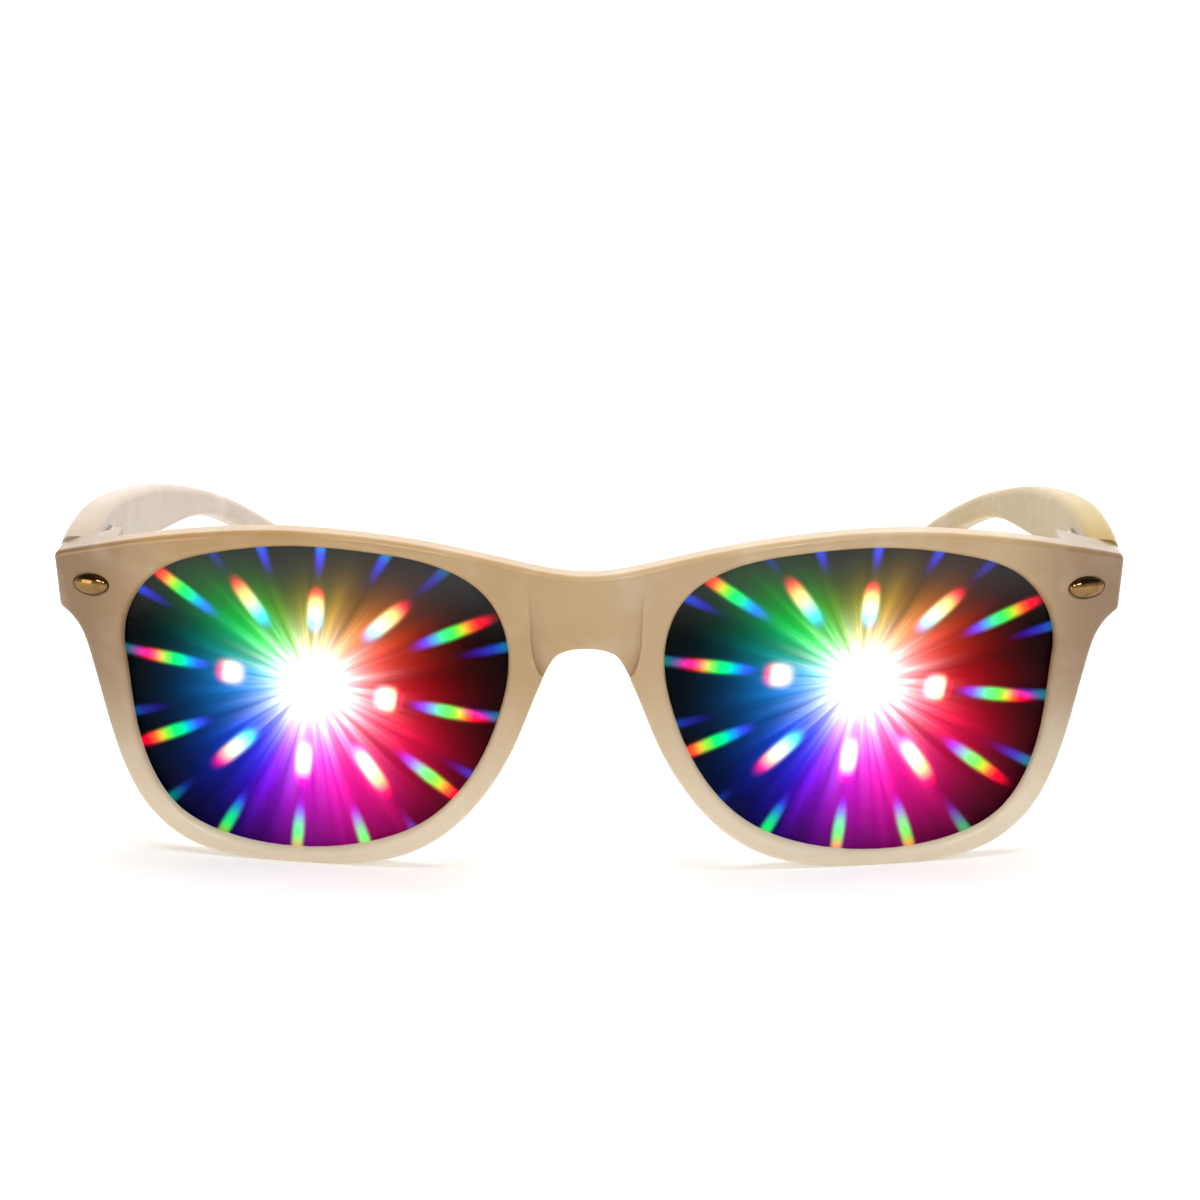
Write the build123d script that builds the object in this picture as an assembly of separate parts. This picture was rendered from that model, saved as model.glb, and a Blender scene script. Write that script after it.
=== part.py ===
from build123d import *
import os
from math import asin, cos, hypot, radians, sin, sqrt

os.makedirs("parts", exist_ok=True)

# Diffraction glasses: a moulded frame whose lenses hold a crossed grating film.
# Millimetres and degrees. The glasses stand open on the bottoms of their rims and
# the tips of their temples, at z = 0. The wearer looks towards -Y and up is +Z,
# so +X is the wearer's left. The left half is modelled and the right half mirrors it.

# Front, as an optician measures it
lens_width = 52.9
lens_height = 43.2
bridge_width = 21.0
end_rim_width = 9.55
brow_rim_height = 2.15
bottom_rim_height = 2.15
front_thickness = 3.6
wrap_radius = 220.0
front_tilt = 3.0
foot_flat_depth = 0.2
outer_round = 0.8
lens_round = 1.1
rear_round = 0.5
end_corner_radius = 1.0

# Bridge: a shield-shaped boss between two sunk flanks
shield_width = 13.0
shield_height = 8.9
shield_slope = 20.0
flank_reach = 4.5
flank_depth = 0.95

# Nose pads, moulded on the back of the rims
pad_length = 8.6
pad_width = 3.0
pad_start = 0.9
pad_flare = 20.0

# Lens sandwich in its groove: clear sheet, grating film, clear sheet
sheet_thickness = 0.4
film_thickness = 0.16
layer_gap = 0.02
lens_setback = 1.3
lens_seat_depth = 0.9
lens_clearance = 0.08

# Temples
temple_reach = 125.0
temple_toe_in = 14.3
toe_in_power = 2.35
temple_hinge_thickness = 4.5
temple_tip_thickness = 3.4
temple_tip_radius = 3.9
temple_round = 1.15
butt_land = 1.0
butt_gap = 0.1

# Hinge: three knuckles on an upright screw, with leaves sunk into the plastic
knuckle_radius = 1.5
knuckle_height = 1.95
knuckle_gap = 0.06
hinge_clearance = 0.15
running_clearance = 0.05
front_leaf_thickness = 0.9
temple_leaf_thickness = 1.0
temple_leaf_length = 9.6
temple_leaf_height = 6.4
leaf_proud = 0.4
leaf_corner_radius = 0.8
leaf_margin = 0.3
front_anchor_depth = 1.1
temple_anchor_depth = 1.8
anchor_width = 1.8
anchor_height = 2.2
pocket_clearance = 0.04
screw_radius = 0.65
screw_head_radius = 1.15
screw_head_height = 0.7
screw_head_round = 0.23
screw_slot_width = 0.35

# Oval studs, one on each endpiece and one on each temple
stud_length = 5.2
stud_height = 2.95
stud_dome = 0.95
stud_sink = 0.25
stud_clearance = 0.18
prong_radius = 0.6
prong_spacing = 2.6
front_prong_length = 1.6
temple_prong_length = 1.4
temple_stud_setback = 7.5

# How far a cutting shape runs past what it cuts, and how near an edge is to its outline
overrun = 8.0
seat_overrun = 2.0
follow_tolerance = 0.01
follow_shares = (0.1, 0.5, 0.9)

# Outline of the front. A point is (place across, place up). Across, 0 to 1 is half the
# bridge, 1 to 2 the lens and 2 to 3 the end rim. Up, 0 to 1 is the bottom rim, 1 to 2
# the lens and 2 to 3 the brow.
brow_shares = [
    (0, 1.932),
    (1.0, 1.970),
    (1.198, 2.37),
    (1.400, 2.907),
    (1.595, 3.0),
    (1.784, 2.558),
    (1.955, 1.992),
    (2.283, 1.965),
    (3.0, 1.925),
]
brow_directions = [(1, 0), (1, -0.3)]
end_low_share = (2.95, 1.749)
corner_share = 2.5
rim_shares = [
    (2.783, 1.719),
    (2.652, 1.679),
    (2.533, 1.601),
    (2.326, 1.404),
    (2.098, 1.233),
    (1.955, 1.094),
    (1.851, 0.907),
    (1.716, 0.116),
    (1.558, 0),
    (1.399, 0.233),
    (1.265, 1.003),
    (1.146, 1.096),
    (1.060, 1.216),
    (0.971, 1.353),
    (0.695, 1.517),
    (0.514, 1.622),
    (0.352, 1.679),
    (0, 1.698),
]
rim_directions = [(-1, -0.75), (-1, 0)]

# Outline of a lens opening, across from the nose side and up from the bottom
lens_shares = [
    (1.0, 0.62),
    (0.975, 0.78),
    (0.900, 0.888),
    (0.750, 0.962),
    (0.540, 1.0),
    (0.340, 0.99),
    (0.165, 0.948),
    (0.055, 0.862),
    (0.0, 0.70),
    (0.022, 0.485),
    (0.102, 0.265),
    (0.225, 0.108),
    (0.375, 0.030),
    (0.555, 0.0),
    (0.735, 0.022),
    (0.875, 0.100),
    (0.952, 0.245),
    (0.986, 0.43),
]

# Bridge flanks: the crease that bounds them, from the top down to the nose outline
crease_shares = [(0.79, 1.925), (0.725, 1.862), (0.66, 1.655), (0.52, 1.59)]
flank_top_share = 1.905
shield_top_share = 1.922

# Nose pads: place across, place up, share of the length, share of the width
pad_station_shares = [
    (1.153, 1.118, 0.25, 0.5),
    (1.091, 1.228, 0.80, 0.9),
    (1.026, 1.367, 1.0, 1.0),
    (0.886, 1.506, 0.85, 0.95),
    (0.715, 1.590, 0.25, 0.5),
]

# Side view of a temple: place along its reach, and up as a share of its top at the hinge
temple_top_shares = [
    (0, 1.0),
    (0.056, 1.028),
    (0.112, 1.035),
    (0.184, 1.022),
    (0.248, 1.001),
    (0.328, 0.966),
    (0.408, 0.927),
    (0.504, 0.864),
    (0.600, 0.792),
    (0.712, 0.689),
    (0.792, 0.601),
    (0.872, 0.501),
    (0.936, 0.385),
]
temple_low_shares = [
    (0.904, 0.214),
    (0.856, 0.366),
    (0.792, 0.495),
    (0.712, 0.596),
    (0.600, 0.691),
    (0.504, 0.734),
    (0.416, 0.757),
    (0.336, 0.776),
    (0.224, 0.780),
    (0.112, 0.784),
    (0, 0.798),
]
temple_end_angle = 48.0
temple_top_direction = (0, 1, 0.35)
temple_low_direction = (0, -1, 0)

# Plan of a temple: places along its reach
temple_plan_shares = [0, 0.2, 0.4, 0.6, 0.8, 1.05]

# Where a stud sits on the front, and where across it the rims stand on the table
stud_share = (2.45, 1.832)
foot_share = 1.558


def across(share):
    """Distance from the mirror plane of a place across the front."""
    bridge_part = min(share, 1) * bridge_width / 2
    lens_part = min(max(share - 1, 0), 1) * lens_width
    end_part = max(share - 2, 0) * end_rim_width
    return bridge_part + lens_part + end_part


def up(share):
    """Height of a place up the front, before the front is tilted."""
    bottom_part = min(share, 1) * bottom_rim_height
    lens_part = min(max(share - 1, 0), 1) * lens_height
    brow_part = max(share - 2, 0) * brow_rim_height
    return bottom_part + lens_part + brow_part


def setback(x, depth=0):
    """How far back the curved front lies at x, at a depth below its face."""
    return wrap_radius - sqrt((wrap_radius - depth) ** 2 - x**2)


half_width = across(3)
front_height = up(3)
tilt_cos = cos(radians(front_tilt))
tilt_sin = sin(radians(front_tilt))
foot_x = across(foot_share)
front_drop = foot_flat_depth + (setback(foot_x) + outer_round) * tilt_sin
front_place = Pos(0, 0, -front_drop) * Rot(X=front_tilt)

# The temples butt against the flat backs of the endpieces
end_low_z = up(end_low_share[1])
butt_y = setback(half_width, front_thickness) * tilt_cos - end_low_z * tilt_sin + butt_land
temple_start = butt_y + butt_gap
temple_inner_x = half_width - temple_hinge_thickness
end_top_z = (up(brow_shares[-1][1]) + up(brow_shares[-2][1])) / 2
hinge_top = end_top_z * tilt_cos + butt_y * tilt_sin - front_drop
hinge_low = hinge_top * temple_low_shares[-1][1]
hinge_z = (hinge_top + hinge_low) / 2
pin_x = temple_inner_x - knuckle_radius - hinge_clearance
pin_y = butt_y + knuckle_radius + hinge_clearance
knuckle_pitch = knuckle_height + knuckle_gap


def span_box(x_span, y_span, z_span):
    """A box between two places along each axis."""
    size = [high - low for low, high in (x_span, y_span, z_span)]
    middle = [(high + low) / 2 for low, high in (x_span, y_span, z_span)]
    return Pos(*middle) * Box(*size)


def prism(sketch):
    """A sketch of the front, drawn across and up, run from before the front to behind it."""
    depth = front_height
    return Pos(0, -depth, 0) * extrude(Plane.XZ * sketch, amount=2 * depth, dir=(0, 1, 0))


def behind(depth):
    """All that lies more than a depth behind the curved face of the front."""
    return Pos(0, wrap_radius, 0) * Cylinder(wrap_radius - depth, 4 * front_height)


def front_sketch():
    """The outline of the whole front."""
    brow = Spline(
        [(across(u), up(v)) for u, v in brow_shares],
        tangents=brow_directions,
        tangent_scalars=(1, 1),
    )
    end_low = (across(end_low_share[0]), end_low_z)
    rim = Spline(
        [end_low] + [(across(u), up(v)) for u, v in rim_shares],
        tangents=rim_directions,
        tangent_scalars=(1, 1),
    )
    half = [brow, Line(brow @ 1, end_low), rim]
    outline = make_face(half + [mirror(edge, about=Plane.YZ) for edge in half])
    corners = outline.vertices().filter_by(lambda v: abs(v.X) > across(corner_share))
    return fillet(corners, end_corner_radius)


def lens_sketch(growth=0):
    """The outline of the left lens opening, grown outwards by a distance."""
    points = [Vector(across(1) + s * lens_width, up(1) + t * lens_height) for s, t in lens_shares]
    count = len(points)
    grown = []
    for index, point in enumerate(points):
        along = (points[(index + 1) % count] - points[index - 1]).normalized()
        grown.append(point + Vector(along.Y, -along.X) * growth)
    return make_face(Spline(grown, periodic=True))


def edges_following(shape, outline, depth):
    """The edges of a shape that follow an outline, at a depth below the curved face."""
    path = (Plane.XZ * outline).wire()
    found = ShapeList()
    for edge in shape.edges():
        places = [edge.position_at(share) for share in follow_shares]
        gaps = [abs(hypot(p.X, p.Y - wrap_radius) - wrap_radius + depth) for p in places]
        gaps += [path.distance_to(Vertex(p.X, 0, p.Z)) for p in places]
        if max(gaps) < follow_tolerance:
            found.append(edge)
    return found


def both_sides(shape):
    """A left-hand shape and its mirror image."""
    return [shape, mirror(shape, about=Plane.YZ)]


def rim_shell():
    """The curved front with its two lens openings, rounded front and back."""
    outline = front_sketch()
    opening = lens_sketch()
    shell = (prism(outline) & behind(0)) - behind(front_thickness)
    shell = shell - both_sides(prism(opening))
    outlines = [outline, opening, mirror(opening, about=Plane.YZ)]
    for edge_outline, radius in zip(outlines, (outer_round, lens_round, lens_round)):
        shell = fillet(edges_following(shell, edge_outline, 0), radius)
    for edge_outline in outlines:
        shell = fillet(edges_following(shell, edge_outline, front_thickness), rear_round)
    return shell


def endpiece():
    """The block behind the left end of the front, which the hinge is sunk into."""
    zone = span_box(
        (across(2) + lens_seat_depth, half_width + overrun),
        (-overrun, butt_y + overrun),
        (end_low_z, front_height + overrun),
    )
    return prism(front_sketch()) & behind(front_thickness / 2) & zone


def nose_pad():
    """The left nose pad, swelling back from the rim and flaring away from the nose."""
    sections = []
    for u, v, length_share, width_share in pad_station_shares:
        half_length = pad_length / 2 * length_share
        centre = (across(u), setback(across(u)) + pad_start + half_length, up(v))
        turn = radians(pad_flare)
        plane = Plane(origin=centre, x_dir=(sin(turn), cos(turn), 0), z_dir=(0, 0, 1))
        sections.append(plane * Ellipse(half_length, pad_width / 2 * width_share))
    return loft(sections)


def bridge_flanks():
    """What is cut away beside and below the shield on the bridge."""
    top_z = up(flank_top_share)
    low_z = up(crease_shares[-1][1])
    arch_z = up(rim_shares[-1][1])
    crease = [(across(u), up(v)) for u, v in crease_shares]
    half = [Line((0, crease[0][1]), crease[0]), Spline(crease), Line(crease[-1], (0, low_z))]
    between = make_face(half + [mirror(edge, about=Plane.YZ) for edge in half])
    slope = flank_depth / (top_z - arch_z)
    deepest = (top_z - low_z) * slope
    wedge_side = Polyline(
        (0, -overrun, top_z + overrun * slope),
        (0, 0, top_z),
        (0, deepest, low_z),
        (0, -overrun, low_z),
        close=True,
    )
    wedge = extrude(make_face(wedge_side), amount=half_width, both=True)
    boss_rise = flank_reach * sin(radians(shield_slope)) / cos(radians(shield_slope))
    sections = []
    for growth, depth in ((0, 0), (flank_reach, boss_rise)):
        plane = Plane(origin=(0, depth, up(shield_top_share)), x_dir=(1, 0, 0), z_dir=(0, -1, 0))
        sections.append(plane * Ellipse(shield_width / 2 + growth, shield_height + growth))
    return (prism(between) & wedge) - loft(sections, ruled=True)


def layer(growth, near, far):
    """A curved layer with the left lens outline, between two depths below the face."""
    return (prism(lens_sketch(growth)) & behind(near)) - behind(far)


def stud_plane():
    """Where the left front stud sits, square to the curved face."""
    x = across(stud_share[0])
    turn = asin(x / wrap_radius)
    normal = (sin(turn), -cos(turn), 0)
    return Plane(origin=(x, setback(x), up(stud_share[1])), x_dir=(cos(turn), sin(turn), 0), z_dir=normal)


def stud(prong_length):
    """An oval stud on the XY plane: a domed cap over a sunk base with two prongs."""
    dome = scale(Sphere(1), by=(stud_length / 2, stud_height / 2, stud_dome))
    dome = dome & Pos(0, 0, overrun) * Box(2 * overrun, 2 * overrun, 2 * overrun)
    base = extrude(Ellipse(stud_length / 2, stud_height / 2), amount=-stud_sink)
    cap = dome + base
    for side in (-1, 1):
        foot = Pos(side * prong_spacing / 2, 0, -stud_sink / 2)
        prong = Cylinder(prong_radius, prong_length, align=(Align.CENTER, Align.CENTER, Align.MAX))
        cap = cap + foot * prong
    return cap


def stud_seat(prong_length):
    """The shallow oval recess and the two holes that a stud is pressed into."""
    growth = stud_clearance
    recess = Ellipse(stud_length / 2 + growth, stud_height / 2 + growth)
    seat = Pos(0, 0, -stud_sink) * extrude(recess, amount=stud_sink + seat_overrun)
    for side in (-1, 1):
        foot = Pos(side * prong_spacing / 2, 0, -stud_sink / 2)
        hole_depth = prong_length + stud_clearance
        hole_radius = prong_radius + pocket_clearance
        hole = Cylinder(hole_radius, hole_depth, align=(Align.CENTER, Align.CENTER, Align.MAX))
        seat = seat + foot * hole
    return seat


def knuckle(level, bore_clearance):
    """One barrel of the hinge: level is -1, 0 or 1, counted up from the middle."""
    barrel = Cylinder(knuckle_radius, knuckle_height) - Cylinder(
        screw_radius + bore_clearance, knuckle_height
    )
    return Pos(pin_x, pin_y, hinge_z + level * knuckle_pitch) * barrel


def knuckle_span(level):
    """The lowest and highest z of one barrel."""
    middle = hinge_z + level * knuckle_pitch
    return (middle - knuckle_height / 2, middle + knuckle_height / 2)


def screw_hole(clearance):
    """The upright hole on the hinge axis."""
    tall = 4 * knuckle_pitch
    return Pos(pin_x, pin_y, hinge_z) * Cylinder(screw_radius + clearance, tall)


leaf_in_x = across(2) + lens_seat_depth + leaf_margin
leaf_out_x = temple_inner_x - hinge_clearance
leaf_half_height = 1.5 * knuckle_pitch
leaf_mid_x = (leaf_in_x + leaf_out_x) / 2


def front_leaf(growth=0):
    """The leaf sunk flush into the back of the left endpiece, without its knuckles."""
    plate = span_box(
        (leaf_in_x - growth, leaf_out_x + growth),
        (butt_y - front_leaf_thickness - growth, butt_y),
        (hinge_z - leaf_half_height - growth, hinge_z + leaf_half_height + growth),
    )
    anchor = span_box(
        (leaf_mid_x - anchor_width / 2 - growth, leaf_mid_x + anchor_width / 2 + growth),
        (butt_y - front_leaf_thickness - front_anchor_depth - growth, butt_y - front_leaf_thickness / 2),
        (hinge_z - anchor_height / 2 - growth, hinge_z + anchor_height / 2 + growth),
    )
    return plate + anchor


def front_hinge_leaf():
    """The front leaf with its two outer knuckles."""
    leaf = front_leaf()
    for level in (-1, 1):
        neck = span_box(
            (pin_x - knuckle_radius, pin_x + knuckle_radius / 2),
            (butt_y - front_leaf_thickness / 2, pin_y),
            knuckle_span(level),
        )
        leaf = leaf + (neck - screw_hole(pocket_clearance)) + knuckle(level, pocket_clearance)
    return leaf


plate_x = (temple_inner_x - leaf_proud, temple_inner_x - leaf_proud + temple_leaf_thickness)
plate_y = (pin_y + knuckle_radius + hinge_clearance, pin_y + knuckle_radius + temple_leaf_length)
anchor_y = sum(plate_y) / 2


def temple_leaf(growth=0):
    """The leaf sunk into the inside of the left temple, without its knuckle."""
    plate = span_box(
        (plate_x[0] - growth, plate_x[1] + growth),
        (plate_y[0] - growth, plate_y[1] + growth),
        (hinge_z - temple_leaf_height / 2 - growth, hinge_z + temple_leaf_height / 2 + growth),
    )
    far_corners = plate.edges().filter_by(Axis.X).group_by(Axis.Y)[-1]
    plate = fillet(far_corners, leaf_corner_radius)
    anchor = span_box(
        (plate_x[0] + leaf_proud, plate_x[1] + temple_anchor_depth - leaf_proud + growth),
        (anchor_y - anchor_height / 2 - growth, anchor_y + anchor_height / 2 + growth),
        (hinge_z - anchor_width / 2 - growth, hinge_z + anchor_width / 2 + growth),
    )
    return plate + anchor


def temple_hinge_leaf():
    """The temple leaf with the middle knuckle, joined by a neck."""
    neck = span_box((pin_x, plate_x[1]), (pin_y - knuckle_radius / 2, plate_y[0] + leaf_proud), knuckle_span(0))
    neck = neck - screw_hole(running_clearance)
    return temple_leaf() + neck + knuckle(0, running_clearance)


def hinge_screw():
    """The slotted screw that the left temple swings on."""
    low, high = hinge_z - 1.5 * knuckle_pitch, hinge_z + 1.5 * knuckle_pitch
    shank = Pos(pin_x, pin_y, (low + high) / 2) * Cylinder(screw_radius, high - low)
    head = Cylinder(screw_head_radius, screw_head_height)
    head = fillet(head.edges().group_by(Axis.Z)[-1], screw_head_round)
    slot = Pos(0, 0, screw_head_height / 2) * Box(2 * screw_head_radius, screw_slot_width, screw_head_height)
    seat_z = high - knuckle_gap / 2 + screw_head_height / 2
    return shank + Pos(pin_x, pin_y, seat_z) * (head - slot)


def temple_outer_x(share):
    """Outer face of the left temple in plan, at a place along its reach."""
    return half_width - temple_toe_in * share**toe_in_power


def temple_blank():
    """The left temple: its side view and its plan cut each other, then the edges are rounded."""
    top = [(0, temple_start + temple_reach * y, hinge_top * z) for y, z in temple_top_shares]
    low = [(0, temple_start + temple_reach * y, hinge_top * z) for y, z in temple_low_shares]
    turn = radians(temple_end_angle)
    centre = Vector(
        0, temple_start + temple_reach - temple_tip_radius, temple_tip_radius - foot_flat_depth
    )
    side = Vector(0, sin(turn), cos(turn)) * temple_tip_radius
    end = Vector(0, cos(turn), -sin(turn))
    top_curve = Spline(top + [centre + side], tangents=[temple_top_direction, end], tangent_scalars=(1, 1))
    low_curve = Spline([centre - side] + low, tangents=[end * -1, temple_low_direction], tangent_scalars=(1, 1))
    tip = ThreePointArc(centre + side, centre + end * temple_tip_radius, centre - side)
    butt = Line(low_curve @ 1, top_curve @ 0)
    profile = extrude(make_face([top_curve, tip, low_curve, butt]), amount=half_width + overrun, dir=(1, 0, 0))

    outer, inner = [], []
    for share in temple_plan_shares:
        y = temple_start + temple_reach * share
        thickness = temple_hinge_thickness + (temple_tip_thickness - temple_hinge_thickness) * share
        outer.append((temple_outer_x(share), y))
        inner.append((temple_outer_x(share) - thickness, y))
    outer_curve = Spline(outer)
    inner_curve = Spline(inner)
    ends = [Line(outer[0], inner[0]), Line(outer[-1], inner[-1])]
    plan = extrude(make_face([outer_curve, inner_curve] + ends), amount=2 * front_height)
    blank = profile & Pos(0, 0, -foot_flat_depth - overrun) * plan
    long_edges = blank.edges().filter_by(lambda e: e.bounding_box().max.Y > temple_start + temple_round)
    return fillet(long_edges, temple_round)


def temple_stud_plane():
    """Where the left temple's stud sits, square to the temple's outer face."""
    y = butt_y + temple_stud_setback
    x = temple_outer_x((y - temple_start) / temple_reach)
    return Plane(origin=(x, y, hinge_z), x_dir=(0, 1, 0), z_dir=(1, 0, 0))


def temple():
    """The left temple with its stud seat, the pocket of its leaf and its foot flat."""
    blank = temple_blank() - temple_stud_plane() * stud_seat(temple_prong_length)
    neck_slot = span_box(
        (pin_x, plate_x[1] + pocket_clearance),
        (temple_start - overrun, plate_y[0] + leaf_proud),
        (knuckle_span(0)[0] - pocket_clearance, knuckle_span(0)[1] + pocket_clearance),
    )
    return above_table(blank - temple_leaf(pocket_clearance) - neck_slot)


def above_table(shape):
    """What is left of a shape above z = 0, where it stands on a small flat."""
    size = 4 * half_width
    return shape - Pos(0, 0, -size / 2) * Box(size, size, size)


def front_frame():
    """The whole front, placed and cut for what it holds."""
    front = rim_shell() + both_sides(endpiece()) + both_sides(nose_pad())
    front = front - bridge_flanks()
    front = front - both_sides(
        layer(lens_seat_depth, lens_setback - layer_gap, lens_back + layer_gap)
    )
    front = front - both_sides(stud_plane() * stud_seat(front_prong_length))
    front = above_table(front_place * front)
    behind_butt = span_box(
        (-2 * half_width, 2 * half_width), (butt_y, 2 * front_height), (-overrun, 2 * front_height)
    )
    return front - behind_butt - both_sides(front_leaf(pocket_clearance))


film_front = lens_setback + sheet_thickness + layer_gap
film_back = film_front + film_thickness
rear_front = film_back + layer_gap
lens_back = rear_front + sheet_thickness
lens_growth = lens_seat_depth - lens_clearance

left_pieces = {
    "lens_front_sheet": front_place * layer(lens_growth, lens_setback, film_front - layer_gap),
    "grating_film": front_place * layer(lens_growth, film_front, film_back),
    "lens_rear_sheet": front_place * layer(lens_growth, rear_front, lens_back),
    "front_stud": front_place * (stud_plane() * stud(front_prong_length)),
    "front_hinge_leaf": front_hinge_leaf(),
    "hinge_screw": hinge_screw(),
    "temple": temple(),
    "temple_hinge_leaf": temple_hinge_leaf(),
    "temple_stud": temple_stud_plane() * stud(temple_prong_length),
}

pieces = {"front_frame": front_frame()}
for name, shape in left_pieces.items():
    left, right = both_sides(shape)
    pieces["left_" + name] = left
    pieces["right_" + name] = right

# The origin is on the table under the middle of the whole
extents = [shape.bounding_box() for shape in pieces.values()]
middle_y = (min(box.min.Y for box in extents) + max(box.max.Y for box in extents)) / 2
for name, shape in pieces.items():
    export_step(Pos(0, -middle_y, 0) * shape, f"parts/{name}.step")

print(f"hinge pins at x +-{pin_x:.3f}, y {pin_y - middle_y:.3f}, z {hinge_z:.3f}")
print(f"butt plane at y {butt_y - middle_y:.3f}, moved back by {-middle_y:.3f}")
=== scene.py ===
import bpy
import math
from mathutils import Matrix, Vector

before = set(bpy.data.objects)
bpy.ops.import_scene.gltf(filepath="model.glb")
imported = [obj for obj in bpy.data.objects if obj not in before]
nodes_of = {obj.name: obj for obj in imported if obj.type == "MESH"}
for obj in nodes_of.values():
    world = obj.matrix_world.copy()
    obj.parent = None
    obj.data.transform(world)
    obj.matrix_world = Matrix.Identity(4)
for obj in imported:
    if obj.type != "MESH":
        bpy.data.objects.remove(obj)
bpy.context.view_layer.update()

SIDES = ("left", "right")
WHITE = (1.0, 1.0, 1.0, 1.0)


def light(red, green, blue):
    """A colour written as it looks on a screen, as the light values that shaders take."""
    values = []
    for value in (red, green, blue):
        share = value / 255
        values.append(share / 12.92 if share <= 0.04045 else ((share + 0.055) / 1.055) ** 2.4)
    return (*values, 1.0)


class Tree:
    """Short ways to add and join shader nodes."""

    def __init__(self, tree):
        self.tree = tree

    def node(self, kind, **settings):
        made = self.tree.nodes.new(kind)
        for name, value in settings.items():
            setattr(made, name, value)
        return made

    def feed(self, socket, value):
        if isinstance(value, bpy.types.NodeSocket):
            self.tree.links.new(value, socket)
        else:
            socket.default_value = value

    def math(self, operation, *values):
        made = self.node("ShaderNodeMath", operation=operation)
        for socket, value in zip(made.inputs, values):
            self.feed(socket, value)
        return made.outputs[0]

    def vector(self, operation, *values):
        made = self.node("ShaderNodeVectorMath", operation=operation)
        for socket, value in zip(made.inputs, values):
            self.feed(socket, value)
        return made.outputs["Value" if operation in ("DOT_PRODUCT", "LENGTH") else "Vector"]

    def fade(self, distance, power):
        """1 at distance 0, falling to 1/e at distance 1. A higher power makes a sharper edge."""
        return self.math("POWER", 1 / math.e, self.math("POWER", distance, power))

    def ramp(self, share, stops, smooth="LINEAR"):
        made = self.node("ShaderNodeValToRGB")
        made.color_ramp.interpolation = smooth
        elements = made.color_ramp.elements
        elements[0].position, elements[0].color = stops[0]
        elements[1].position, elements[1].color = stops[-1]
        for position, colour in stops[1:-1]:
            elements.new(position).color = colour
        self.feed(made.inputs["Fac"], share)
        return made.outputs["Color"]

    def spread(self, value, low, high, to_low=0.0, to_high=1.0, smooth="LINEAR"):
        """The value's place between low and high, brought to the range to_low to to_high."""
        made = self.node("ShaderNodeMapRange", interpolation_type=smooth, clamp=True)
        for socket, number in zip(made.inputs, (value, low, high, to_low, to_high)):
            self.feed(socket, number)
        return made.outputs["Result"]

    def noise(self, place, scale, detail=2.0, roughness=0.5, distortion=0.0):
        made = self.node("ShaderNodeTexNoise")
        self.feed(made.inputs["Vector"], place)
        made.inputs["Scale"].default_value = scale
        made.inputs["Detail"].default_value = detail
        made.inputs["Roughness"].default_value = roughness
        made.inputs["Distortion"].default_value = distortion
        return made.outputs["Fac"]

    def mix(self, share, first, second, blend="MIX"):
        made = self.node("ShaderNodeMix", data_type="RGBA", blend_type=blend)
        self.feed(made.inputs["Factor"], share)
        self.feed(made.inputs[6], first)
        self.feed(made.inputs[7], second)
        return made.outputs[2]

    def bump(self, height, strength, distance):
        made = self.node("ShaderNodeBump")
        made.inputs["Strength"].default_value = strength
        made.inputs["Distance"].default_value = distance
        self.feed(made.inputs["Height"], height)
        return made.outputs["Normal"]

    def place(self):
        return self.node("ShaderNodeTexCoord").outputs["Object"]

    def axes(self, place):
        made = self.node("ShaderNodeSeparateXYZ")
        self.feed(made.inputs[0], place)
        return made.outputs

    def seen_directly(self):
        """1 for rays from the camera, also through a clear sheet, and 0 for other rays."""
        rays = self.node("ShaderNodeLightPath").outputs
        return self.math("MAXIMUM", rays["Is Camera Ray"], rays["Is Transmission Ray"])

    def seen_in_gloss(self):
        return self.node("ShaderNodeLightPath").outputs["Is Glossy Ray"]


def material(name, **values):
    made = bpy.data.materials.new(name)
    made.use_nodes = True
    tree = Tree(made.node_tree)
    shader = made.node_tree.nodes["Principled BSDF"]
    for socket, value in values.items():
        shader.inputs[socket.replace("_", " ")].default_value = value
    return made, tree, shader


def dress(made, *names):
    for name in names:
        slots = nodes_of[name].data.materials
        slots.clear()
        slots.append(made)


# Moulded plastic. The ranges are in metres: x from the wearer's right to the left, distance
# from the middle plane, and height above the table. The scales are repeats in a metre.
# The first range carries painted light from the sides, the second painted shade at the ends, and
# the third painted light from the table at the bottom
PAINTED_SIDE_LIGHT_SPAN = (-0.055, 0.045)
PAINTED_END_SHADE_SPAN = (0.054, 0.071)
PAINTED_LOW_LIGHT_SPAN = (0.002, 0.03)
DRIFT_SCALE = 38.0
DUST_SCALE = 95.0
CLOUD_SCALE = 160.0
SWELL_SCALE = 420.0
GRAIN_SCALE = 2600.0
DRIFT_TINT = light(240, 230, 215)
CLOUD_TINT = light(255, 252, 246)
DUST_COLOUR = light(120, 92, 60)


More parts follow.
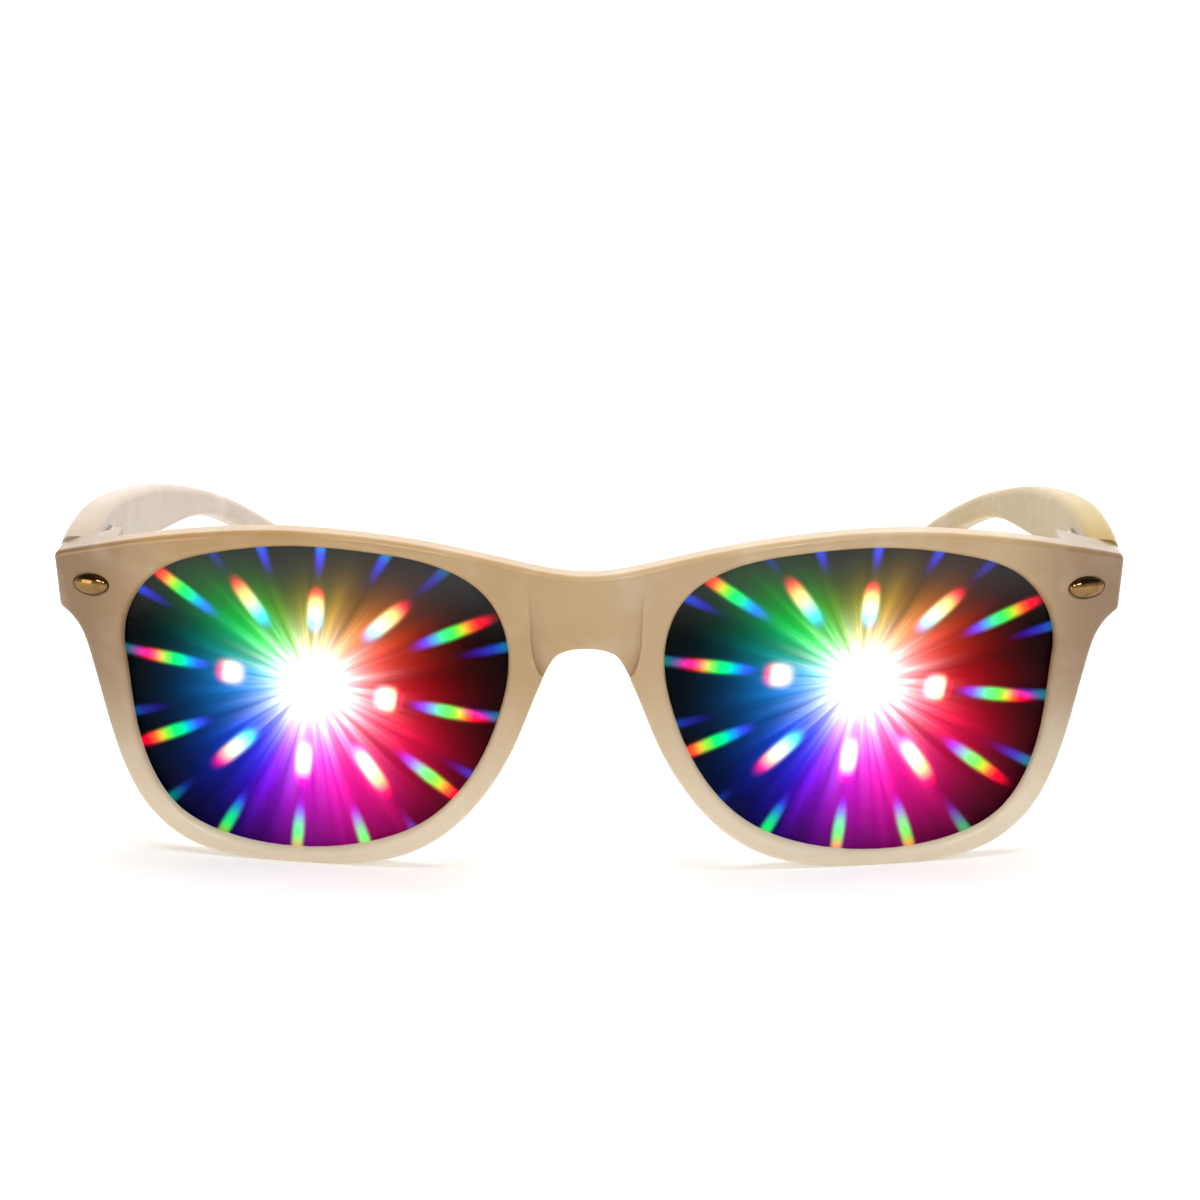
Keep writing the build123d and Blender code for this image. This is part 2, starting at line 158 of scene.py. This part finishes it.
def plastic(name, right, left, low, end, end_shade_share, coat):
    """Plastic that drifts from one colour at the wearer's right to another at the left, which is
    painted light from the two sides, is paler at the bottom, which is painted light from the
    table, and deeper at the ends, which is painted shade, and has clouds, specks of dust and a
    grain."""
    made, tree, shader = material(
        name, Roughness=0.34, IOR=1.5, Subsurface_Weight=0.12, Subsurface_Scale=0.0015,
        Subsurface_Radius=(1.0, 0.7, 0.4), Coat_Weight=coat, Coat_Roughness=0.16,
    )
    place = tree.place()
    across, _, up = tree.axes(place)

    # Painted light: the colour drifts from side to side as warm and cool light fall on the two
    # sides
    colour = tree.mix(tree.spread(across, *PAINTED_SIDE_LIGHT_SPAN, smooth="SMOOTHSTEP"), right, left)
    drift = tree.noise(place, DRIFT_SCALE, detail=3.0, roughness=0.55)
    colour = tree.mix(tree.spread(drift, 0.35, 0.68, 0.8, 0.0), colour, DRIFT_TINT, "MULTIPLY")
    # Painted shade: towards the ends the plastic takes the end colour
    from_middle = tree.math("ABSOLUTE", across)
    ends = tree.spread(from_middle, *PAINTED_END_SHADE_SPAN, 0.0, end_shade_share, smooth="SMOOTHSTEP")
    colour = tree.mix(ends, colour, end)
    # Painted light from the table: the low colour makes the plastic paler towards the bottom
    painted_low_light = tree.spread(up, *PAINTED_LOW_LIGHT_SPAN, 1.0, 0.0, smooth="SMOOTHSTEP")
    colour = tree.mix(painted_low_light, colour, low)
    cloud = tree.noise(place, CLOUD_SCALE)
    colour = tree.mix(tree.spread(cloud, 0.5, 0.8, 0.0, 0.12), colour, CLOUD_TINT)

    # Only the cells whose random colour passes a limit have their speck
    cells = tree.node("ShaderNodeTexVoronoi", feature="F1")
    tree.feed(cells.inputs["Vector"], place)
    cells.inputs["Scale"].default_value = DUST_SCALE
    speck = tree.spread(cells.outputs["Distance"], 0.016, 0.024, 1.0, 0.0)
    draw = tree.vector("DOT_PRODUCT", cells.outputs["Color"], (0.5, 0.5, 0.0))
    dust = tree.math("MULTIPLY", speck, tree.math("GREATER_THAN", draw, 0.8))
    tree.feed(shader.inputs["Base Color"], tree.mix(dust, colour, DUST_COLOUR))

    grain = tree.noise(place, GRAIN_SCALE)
    tree.feed(shader.inputs["Roughness"], tree.spread(grain, 0.3, 0.7, 0.28, 0.4))
    swell = tree.noise(place, SWELL_SCALE, detail=3.0)
    height = tree.math("MULTIPLY_ADD", swell, 0.6, grain)
    tree.feed(shader.inputs["Normal"], tree.bump(height, strength=0.12, distance=0.00004))
    return made


# In this painted side light, the wearer's right is the yellower side of the front and the paler
# one of the temples
dress(
    plastic(
        "frame_plastic", right=light(192, 159, 110), left=light(198, 173, 133),
        low=light(235, 220, 194), end=light(136, 104, 70), end_shade_share=0.88, coat=0.35,
    ),
    "front_frame",
)
dress(
    plastic(
        "temple_plastic", right=light(199, 184, 170), left=light(182, 155, 78),
        low=light(214, 197, 168), end=light(200, 178, 142), end_shade_share=0.1, coat=0.0,
    ),
    *[f"{side}_temple" for side in SIDES],
)

STAIN_SCALE = 700.0


def metal(name, colour, dark, roughness, grain_scale, stretch):
    """Bare metal with darker stains. A stretch below 1 along an axis draws the grain out."""
    made, tree, shader = material(name, Metallic=1.0)
    place = tree.place()
    stain = tree.noise(place, STAIN_SCALE, detail=3.0)
    tree.feed(
        shader.inputs["Base Color"],
        tree.mix(tree.spread(stain, 0.45, 0.75, 0.0, 0.6), colour, dark),
    )
    drawn = tree.vector("MULTIPLY", place, stretch)
    grain = tree.noise(drawn, grain_scale, detail=4.0, roughness=0.6)
    tree.feed(shader.inputs["Roughness"], tree.spread(grain, 0.3, 0.7, *roughness))
    tree.feed(shader.inputs["Normal"], tree.bump(grain, strength=0.15, distance=0.00002))
    return made


stud_metal = metal(
    "stud_metal", light(136, 106, 66), light(92, 68, 38),
    roughness=(0.06, 0.14), grain_scale=2200.0, stretch=(1, 1, 1),
)
hinge_metal = metal(
    "hinge_metal", light(196, 194, 190), light(160, 156, 150),
    roughness=(0.28, 0.45), grain_scale=2600.0, stretch=(1, 0.12, 1),
)
screw_metal = metal(
    "screw_metal", light(206, 203, 198), light(170, 166, 160),
    roughness=(0.2, 0.35), grain_scale=3000.0, stretch=(1, 1, 0.1),
)
for side in SIDES:
    dress(stud_metal, f"{side}_front_stud", f"{side}_temple_stud")
    dress(hinge_metal, f"{side}_front_hinge_leaf", f"{side}_temple_hinge_leaf")
    dress(screw_metal, f"{side}_hinge_screw")

# Clear sheets, with faint smears that only show where they catch the light
clear, tree, shader = material(
    "clear_sheet", Transmission_Weight=1.0, IOR=1.06, Base_Color=(0.98, 0.99, 1.0, 1.0),
)
rubbed = tree.vector("MULTIPLY", tree.place(), (1.0, 1.0, 2.4))
smear = tree.noise(rubbed, 90.0, detail=3.0, distortion=0.6)
tree.feed(shader.inputs["Roughness"], tree.spread(smear, 0.45, 0.8, 0.0, 0.06))
dress(clear, *[f"{side}_lens_{face}_sheet" for side in SIDES for face in ("front", "rear")])

# The crossed grating turns a lamp into a star of short spectra, which the film gives off as
# painted light.
# Each entry says where the red end of one spectrum falls, in millimetres right of and above the
# centre, and how bright it is.
NEAR_ORDERS = [
    ((-14.0, -12.6), 1.5), ((-10.3, 14.5), 1.2), ((-1.8, -14.6), 1.9), ((1.3, 13.6), 1.8),
    ((10.4, -15.7), 1.6), ((13.6, 12.0), 1.4),
]
SIDE_ORDERS = [((-12.7, 1.2), 1.3), ((11.9, -1.9), 1.9)]
FAR_ORDERS = [
    ((-25.0, -10.4), 0.95), ((-24.4, 3.0), 1.0), ((-22.2, 15.7), 0.95), ((20.5, -16.0), 1.0),
    ((23.7, -4.0), 1.1), ((24.5, 10.0), 0.95),
]
LOW_ORDERS = [
    ((-15.8, -26.6), 0.6), ((-3.2, -27.5), 0.8), ((8.5, -27.9), 0.75), ((-28.2, -24.8), 0.25),
    ((20.3, -30.2), 0.4),
]
OUTER_ORDERS = [
    ((2.9, 28.2), 0.7), ((-9.4, 28.4), 0.6), ((15.7, 26.9), 0.5), ((27.0, 24.1), 0.25),
    ((-20.7, 28.1), 0.2), ((38.4, 8.9), 0.35), ((36.3, -5.4), 0.3), ((33.9, -19.0), 0.35),
    ((-37.0, -8.4), 0.2), ((-36.8, 4.7), 0.25), ((-35.8, 18.4), 0.45),
]
# Colours along a spectrum, by the share of the distance from the centre to its red end
NEAR_COLOURS = [
    (0.48, (0.02, 0.08, 0.6, 1)), (0.56, (0.02, 0.22, 0.75, 1)), (0.64, (0.05, 0.5, 0.6, 1)),
    (0.71, (0.25, 0.55, 0.4, 1)), (0.78, (0.5, 0.52, 0.25, 1)), (0.85, (0.6, 0.4, 0.12, 1)),
    (0.91, (0.85, 0.16, 0.07, 1)), (0.96, (1.0, 0.01, 0.05, 1)), (1.05, (1.0, 0.0, 0.05, 1)),
]
SIDE_COLOURS = [
    (0.70, (0.35, 0.2, 0.4, 1)), (0.80, (0.6, 0.45, 0.5, 1)), (0.88, (0.7, 0.6, 0.45, 1)),
    (0.94, (0.75, 0.5, 0.25, 1)), (0.99, (1.0, 0.1, 0.08, 1)), (1.05, (1.0, 0.0, 0.05, 1)),
]
FAR_COLOURS = [
    (0.50, (0.05, 0.0, 0.5, 1)), (0.58, (0.05, 0.01, 0.9, 1)), (0.65, (0.02, 0.07, 0.9, 1)),
    (0.70, (0.0, 0.3, 0.5, 1)), (0.74, (0.0, 0.6, 0.2, 1)), (0.79, (0.0, 0.8, 0.08, 1)),
    (0.83, (0.15, 0.6, 0.02, 1)), (0.865, (0.55, 0.34, 0.02, 1)), (0.90, (0.95, 0.08, 0.01, 1)),
    (0.94, (1.0, 0.0, 0.02, 1)), (1.05, (1.0, 0.0, 0.03, 1)),
]
# Middle and half length of a spectrum as shares of the distance to its red end, its half
# width in millimetres, and how bright its middle is
NEAR_FORM = (0.768, 0.198, 1.05, 1.5)
SIDE_FORM = (0.875, 0.15, 1.6, 1.35)
FAR_FORM = (0.802, 0.19, 0.86, 1.5)
LOW_FORM = (0.815, 0.172, 0.78, 1.5)
OUTER_FORM = (0.782, 0.2, 0.74, 1.5)
# Reach of the glow in millimetres, and its colour, by direction: the share of a full turn from
# the side of the wearer's right, anticlockwise as seen from the front
REACH = [
    (0.0, 12.0), (0.12, 14.5), (0.25, 18.5), (0.38, 16.5), (0.5, 14.0), (0.62, 12.2), (0.75, 10.4),
    (0.81, 9.8), (0.88, 15.3), (0.94, 13.0), (1.0, 12.5),
]
LONGEST_REACH = 20.0
GLOW = [
    (0.0, light(0, 118, 196)), (0.055, light(0, 96, 186)), (0.115, light(8, 50, 226)),
    (0.16, light(52, 10, 216)), (0.205, light(150, 8, 208)), (0.243, light(226, 22, 218)),
    (0.30, light(238, 8, 154)), (0.38, light(224, 4, 84)), (0.45, light(206, 0, 40)),
    (0.52, light(190, 4, 12)), (0.585, light(196, 56, 22)), (0.645, light(206, 120, 40)),
    (0.71, light(180, 148, 34)), (0.765, light(146, 146, 24)), (0.83, light(52, 172, 26)),
    (0.885, light(0, 186, 62)), (0.935, light(0, 150, 112)), (1.0, light(0, 118, 196)),
]
CORE_OFFSET = (0.5, 0.0, -0.8)
CORE_RADIUS = 4.7
HAZE_HEIGHTS = (6.0, 17.0)
MILLIMETRES = 1000.0


def add_orders(tree, place, total, orders, colours, form):
    middle, half_length, half_width, shine = form
    for (x, z), bright in orders:
        reach = math.hypot(x, z)
        along = tree.vector("DOT_PRODUCT", place, (x / reach**2, 0.0, z / reach**2))
        aside = tree.vector(
            "DOT_PRODUCT", place, (-z / reach / half_width, 0.0, x / reach / half_width),
        )
        off = tree.math("MULTIPLY_ADD", along, 1 / half_length, -middle / half_length)
        ends = tree.math("POWER", tree.math("ABSOLUTE", off), 2.6)
        sides = tree.math("POWER", tree.math("ABSOLUTE", aside), 2.4)
        shape = tree.fade(tree.math("ADD", ends, sides), 1.8)
        shape = tree.math("MULTIPLY", shape, bright * shine)
        total = tree.vector("MULTIPLY_ADD", tree.ramp(along, colours), shape, total)
    return total


def burst_group():
    """The star of painted light that the film gives off, from the place in millimetres from its
    centre.
    """
    group = bpy.data.node_groups.new("burst", "ShaderNodeTree")
    group.interface.new_socket("Place", in_out="INPUT", socket_type="NodeSocketVector")
    group.interface.new_socket("Colour", in_out="OUTPUT", socket_type="NodeSocketColor")
    tree = Tree(group)
    place = tree.node("NodeGroupInput").outputs["Place"]
    across, _, up = tree.axes(place)
    direction = tree.math(
        "MULTIPLY_ADD", tree.math("ARCTAN2", up, across), 1 / (2 * math.pi), 0.5,
    )

    # Noise that changes quickly round the centre and slowly outwards makes the rays
    heading = tree.vector("NORMALIZE", place)
    wide = tree.noise(
        tree.vector("MULTIPLY_ADD", place, (0.004,) * 3, heading), 3.6, detail=2.0, roughness=0.55,
    )
    fine = tree.noise(
        tree.vector("MULTIPLY_ADD", place, (0.003,) * 3, heading), 6.3, detail=3.0, roughness=0.6,
    )

    # Coloured glow
    shares = [length / LONGEST_REACH for _, length in REACH]
    stops = [(turn, (share, share, share, 1)) for (turn, _), share in zip(REACH, shares)]
    reach = tree.math("MULTIPLY", tree.ramp(direction, stops, "B_SPLINE"), LONGEST_REACH)
    distance = tree.math("DIVIDE", tree.vector("LENGTH", place), reach)
    rays = tree.math(
        "MULTIPLY", tree.spread(wide, 0.3, 0.7, 0.9, 2.6), tree.spread(fine, 0.3, 0.7, 0.75, 1.25),
    )
    glow = tree.math("MULTIPLY", tree.fade(distance, 2.6), rays)
    total = tree.vector("MULTIPLY", tree.ramp(direction, GLOW), glow)

    # White core with a ragged edge and spikes, and a grey haze near the top
    from_core = tree.vector("LENGTH", tree.vector("SUBTRACT", place, CORE_OFFSET))
    core = tree.fade(tree.math("DIVIDE", from_core, CORE_RADIUS), 1.7)
    ragged = tree.spread(fine, 0.34, 0.68, 0.55, 1.5)
    spikes = tree.math("POWER", tree.spread(fine, 0.42, 0.72), 1.3)
    spikes = tree.math("MULTIPLY", spikes, tree.fade(tree.math("MULTIPLY", distance, 1.9), 2.2))
    white = tree.math("MULTIPLY", tree.math("MULTIPLY", core, ragged), 2.4)
    total = tree.vector("ADD", total, tree.math("MULTIPLY_ADD", spikes, 0.7, white))
    haze = tree.spread(up, *HAZE_HEIGHTS, 0.0, 0.03, smooth="SMOOTHSTEP")
    total = tree.vector("ADD", total, haze)

    total = add_orders(tree, place, total, NEAR_ORDERS, NEAR_COLOURS, NEAR_FORM)
    total = add_orders(tree, place, total, SIDE_ORDERS, SIDE_COLOURS, SIDE_FORM)
    total = add_orders(tree, place, total, FAR_ORDERS, FAR_COLOURS, FAR_FORM)
    total = add_orders(tree, place, total, LOW_ORDERS, FAR_COLOURS, LOW_FORM)
    total = add_orders(tree, place, total, OUTER_ORDERS, FAR_COLOURS, OUTER_FORM)
    total = tree.vector("MINIMUM", total, (1.0, 1.0, 1.0))
    tree.feed(tree.node("NodeGroupOutput").inputs["Colour"], total)
    return group


burst = burst_group()


def film(name, centre):
    """Grating film that glows with the burst as painted light, with its centre at a place in
    metres. Its body colour is the same painted light, dimmed.
    """
    made, tree, shader = material(
        name, Roughness=0.3, Specular_IOR_Level=0.03, Emission_Strength=1.0,
    )
    use = tree.node("ShaderNodeGroup", node_tree=burst)
    offset = tree.vector("SUBTRACT", tree.place(), centre)
    flat = tree.vector("MULTIPLY", offset, (MILLIMETRES, 0.0, MILLIMETRES))
    tree.feed(use.inputs["Place"], flat)
    # Painted light: the film glows with the burst, and its body colour is the same pattern dimmed
    tree.feed(shader.inputs["Emission Color"], use.outputs["Colour"])
    painted_body_colour = tree.vector("MULTIPLY", use.outputs["Colour"], (0.25,) * 3)
    tree.feed(shader.inputs["Base Color"], painted_body_colour)
    return made


dress(film("right_grating", (-0.0374, 0.0, 0.0256)), "right_grating_film")
dress(film("left_grating", (0.0370, 0.0, 0.02655)), "left_grating_film")

# A pale sweep that rises behind the glasses, just under their feet
SWEEP_FRONT = -1.2
SWEEP_BEND_START = 0.3
SWEEP_BEND_RADIUS = 0.5
SWEEP_BEND_STEPS = 12
SWEEP_HEIGHT = 1.6
SWEEP_HALF_WIDTH = 1.6
SWEEP_DROP = 0.00002


def sweep():
    profile = [(SWEEP_FRONT, 0.0), (-SWEEP_BEND_START, 0.0), (SWEEP_BEND_START, 0.0)]
    for step in range(1, SWEEP_BEND_STEPS + 1):
        turn = math.radians(90 * step / SWEEP_BEND_STEPS)
        back = SWEEP_BEND_START + SWEEP_BEND_RADIUS * math.sin(turn)
        profile.append((back, SWEEP_BEND_RADIUS * (1 - math.cos(turn))))
    profile.append((SWEEP_BEND_START + SWEEP_BEND_RADIUS, SWEEP_HEIGHT))
    edges = (-SWEEP_HALF_WIDTH, SWEEP_HALF_WIDTH)
    points = [(x, y, z - SWEEP_DROP) for x in edges for y, z in profile]
    count = len(profile)
    faces = [(i, i + 1, count + i + 1, count + i) for i in range(count - 1)]
    mesh = bpy.data.meshes.new("sweep")
    mesh.from_pydata(points, [], faces)
    for face in mesh.polygons:
        face.use_smooth = True
    made = bpy.data.objects.new("sweep", mesh)
    bpy.context.scene.collection.objects.link(made)
    return made


# Paper that the camera sees as white away from the glasses, and that keeps their shadow
paper, tree, shader = material(
    "paper", Roughness=0.9, Specular_IOR_Level=0.1, Emission_Color=WHITE,
)
fibre = tree.noise(tree.place(), 60.0, detail=4.0)
tree.feed(
    shader.inputs["Base Color"], tree.mix(fibre, light(226, 225, 224), light(230, 229, 228)),
)
seen = tree.math("MAXIMUM", tree.seen_directly(), tree.seen_in_gloss())
away = tree.spread(tree.vector("LENGTH", tree.place()), 0.1, 0.6, 0.0, 0.7)
glow = tree.math("ADD", tree.math("MULTIPLY", seen, away), 0.32)
tree.feed(shader.inputs["Emission Strength"], glow)
sweep().data.materials.append(paper)

# A world that is white to the camera, dim on plain surfaces, and in gloss white at the
# horizon and dark above
world = bpy.data.worlds.new("studio")
bpy.context.scene.world = world
world.use_nodes = True
tree = Tree(world.node_tree)
background = world.node_tree.nodes["Background"]
sky_height = tree.axes(tree.node("ShaderNodeTexCoord").outputs["Generated"])[2]
mirrored = tree.spread(sky_height, 0.0, 0.5, 1.0, 0.06)
ambient = tree.spread(tree.seen_in_gloss(), 0.0, 1.0, 0.16, mirrored)
background.inputs["Color"].default_value = WHITE
tree.feed(
    background.inputs["Strength"], tree.math("MAXIMUM", ambient, tree.seen_directly()),
)

LAMP_TARGET = Vector((0.0, -0.03, 0.03))


def turn_towards(made, target):
    made.rotation_mode = "QUATERNION"
    made.rotation_quaternion = (target - made.location).to_track_quat("-Z", "Y")


def lamp(name, place, size, power, colour, **visible):
    """A soft lamp in watts. visible holds the kinds of ray that don't see it."""
    data = bpy.data.lights.new(name, "AREA")
    data.shape = "RECTANGLE"
    data.size, data.size_y = size
    data.energy, data.color = power, colour
    made = bpy.data.objects.new(name, data)
    made.location = place
    turn_towards(made, LAMP_TARGET)
    for kind, value in visible.items():
        setattr(made, kind, value)
    bpy.context.scene.collection.objects.link(made)


lamp("top", (0.05, -0.02, 0.75), (0.7, 0.6), 6.2, (1.0, 0.99, 0.985), visible_glossy=False)
lamp("key", (0.45, -0.5, 0.42), (0.18, 0.18), 0.9, (1.0, 0.97, 0.98), visible_glossy=False)
lamp("fill", (-0.55, -0.45, 0.16), (0.3, 0.25), 0.8, (1.0, 0.84, 0.62))
# These only make the two bright spots on each stud
for name, x in (("left_spark", 0.156), ("right_spark", -0.156)):
    lamp(
        name, (x, -0.61, 0.415), (0.2, 0.16), 0.9, (1.0, 0.98, 0.92),
        visible_diffuse=False, visible_camera=False,
    )

# Camera at the photograph's angle, with a target near the middle of the front
camera = bpy.data.objects.new("camera", bpy.data.cameras.new("camera"))
bpy.context.scene.collection.objects.link(camera)
camera.location = (0.0065474, -0.4084545, 0.1242285)
turn_towards(camera, Vector((0.00181, -0.06918, 0.03837)))
camera.data.sensor_width = 36.0
camera.data.lens = 79.1
camera.data.clip_start, camera.data.clip_end = 0.01, 20.0
bpy.context.scene.camera = camera

bpy.context.scene.view_settings.view_transform = "Standard"
